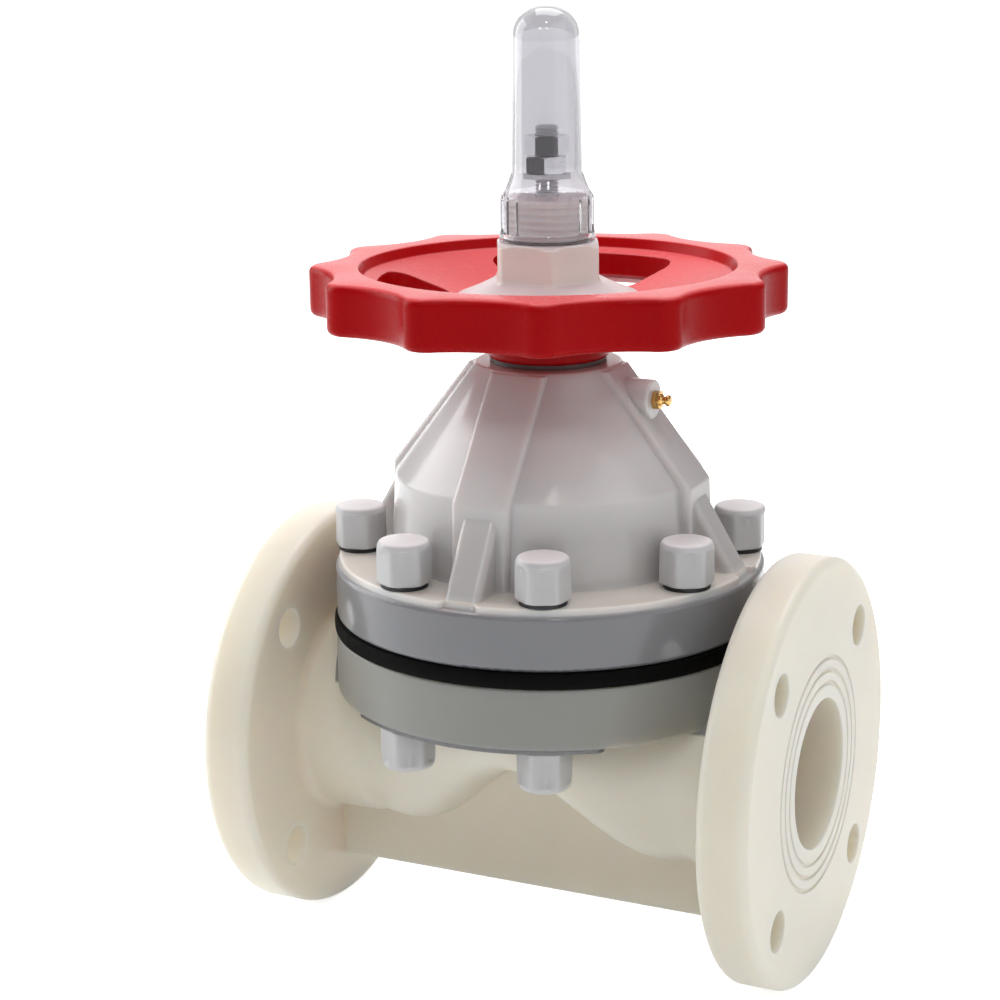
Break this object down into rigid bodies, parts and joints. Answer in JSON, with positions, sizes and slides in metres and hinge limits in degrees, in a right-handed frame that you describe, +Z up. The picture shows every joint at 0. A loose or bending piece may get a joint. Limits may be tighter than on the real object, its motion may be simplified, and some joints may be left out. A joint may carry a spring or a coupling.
{
  "type": "diaphragm valve",
  "caption": "Flanged plastic diaphragm valve with a weir body, bolted bonnet, lobed handwheel, rising stem and a position indicator in a clear cover.",
  "frame": {"origin": "under the stem axis, at the height of the pipe flanges' lowest line", "axes": "+X along the pipe towards the outlet, +Z up along the stem, -Y towards the side seen in the picture"},
  "size_m": [0.25, 0.2022, 0.4114],
  "materials": {
    "cream_plastic": "satin moulded",
    "grey_plastic": "satin moulded",
    "white_plastic": "satin moulded",
    "red_plastic": "gloss moulded",
    "clear_plastic": "clear gloss",
    "black_rubber": "matt",
    "steel": "machined",
    "brass": "machined",
    "iron": "painted"
  },
  "bodies": {
    "valve_body": {"body": "cream_plastic", "body_inserts": "brass", "backing_plates": "steel", "diaphragm": "black_rubber", "bonnet": "grey_plastic", "grease_nipple": "brass", "studs_through": "steel", "studs_short": "steel", "bonnet_washers": "steel", "bonnet_nuts": "steel", "underside_nuts": "steel", "bolt_caps": "white_plastic", "nut_caps": "white_plastic", "sleeve_seal": "black_rubber", "thrust_ring_lower": "white_plastic"},
    "drive": {"handwheel": "red_plastic", "sleeve": "brass", "thrust_ring_upper": "white_plastic", "wheel_nut": "white_plastic", "gauge_cover": "clear_plastic", "cover_seal": "black_rubber"},
    "stem_group": {"stem": "steel", "compressor": "iron", "compressor_pin": "steel", "diaphragm_insert": "steel", "indicator_rod": "steel", "indicator_washer": "steel", "stop_nut_lower": "steel", "stop_nut_upper": "steel"}
  },
  "joints": [
    {"name": "handwheel_turn", "type": "hinge", "parent": "valve_body", "child": "drive", "pos_m": [0, 0, 0.29], "axis": [0, 0, 1], "range_deg": [-720, 1800]},
    {"name": "stem_lift", "type": "slide", "parent": "valve_body", "child": "stem_group", "axis": [0, 0, 1], "range_m": [-0.008, 0.02], "deforming": ["diaphragm"]}
  ],
  "couplings": [
    {"joint": "stem_lift", "follows": "handwheel_turn", "m_per_rad": 0.00063662}
  ]
}
